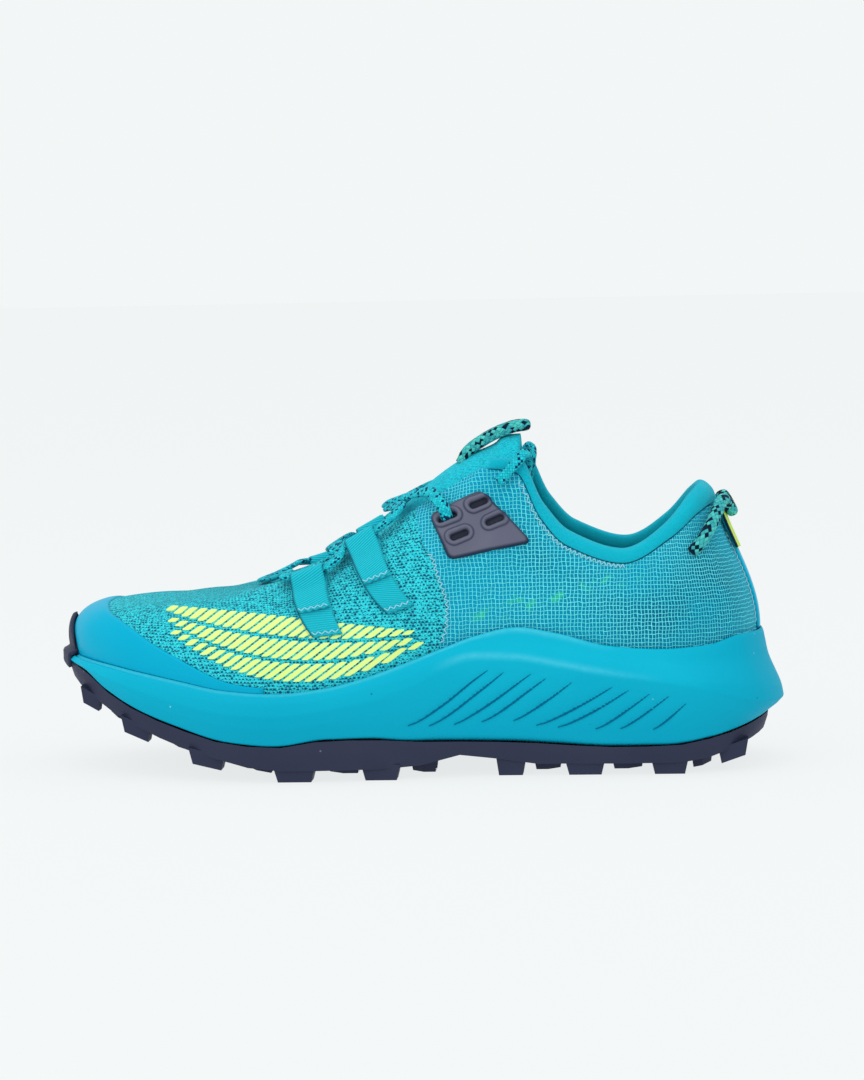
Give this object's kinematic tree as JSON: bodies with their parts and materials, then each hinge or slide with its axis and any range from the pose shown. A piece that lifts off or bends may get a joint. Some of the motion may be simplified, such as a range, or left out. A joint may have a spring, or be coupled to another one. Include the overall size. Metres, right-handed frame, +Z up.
{
  "type": "trail running shoe",
  "caption": "Left low-cut trail running shoe with a knitted upper, padded collar, lace loops, sculpted foam midsole and a lugged rubber outsole.",
  "frame": {"origin": "on the ground, under the middle of the shoe's bounding box", "axes": "+X to the toe, +Y to the outer (lateral) side, +Z up"},
  "size_m": [0.28, 0.1057, 0.1317],
  "materials": {
    "outsole_rubber": "matt dark navy moulded rubber",
    "midsole_foam": "matt cyan moulded foam with a fine skin",
    "insole_foam": "brushed textile over foam",
    "upper_knit": "open cyan knit and mesh with dark holes",
    "cap_film": "smooth cyan film welded over the knit",
    "cuff_knit": "smooth padded cyan knit",
    "tongue_knit": "padded cyan knit",
    "plate_plastic": "satin slate grey moulded plastic",
    "webbing": "ribbed cyan webbing",
    "lace_braid": "flat cyan braid with navy flecks",
    "rope_braid": "round cyan and black braid",
    "tag_ribbon": "neon yellow ribbon with dark edges"
  },
  "bodies": {
    "root": {"outsole": "outsole_rubber", "toe_bumper": "outsole_rubber", "midsole": "midsole_foam", "insole": "insole_foam", "upper": "upper_knit", "toe_cap": "cap_film", "heel_strip": "cap_film", "collar_cuff": "cuff_knit", "tongue": "tongue_knit", "eyelet_plate_lateral": "plate_plastic", "eyelet_plate_medial": "plate_plastic", "lace_loop_front_lateral": "webbing", "lace_loop_front_medial": "webbing", "lace_loop_rear_lateral": "webbing", "lace_loop_rear_medial": "webbing", "lace_bar": "lace_braid", "lace_cross_front": "lace_braid", "lace_cross_rear": "lace_braid", "lace_end_lateral": "lace_braid", "lace_end_medial": "lace_braid", "tongue_pull_loop": "rope_braid", "heel_pull_loop": "rope_braid", "heel_tag": "tag_ribbon"}
  },
  "joints": []
}
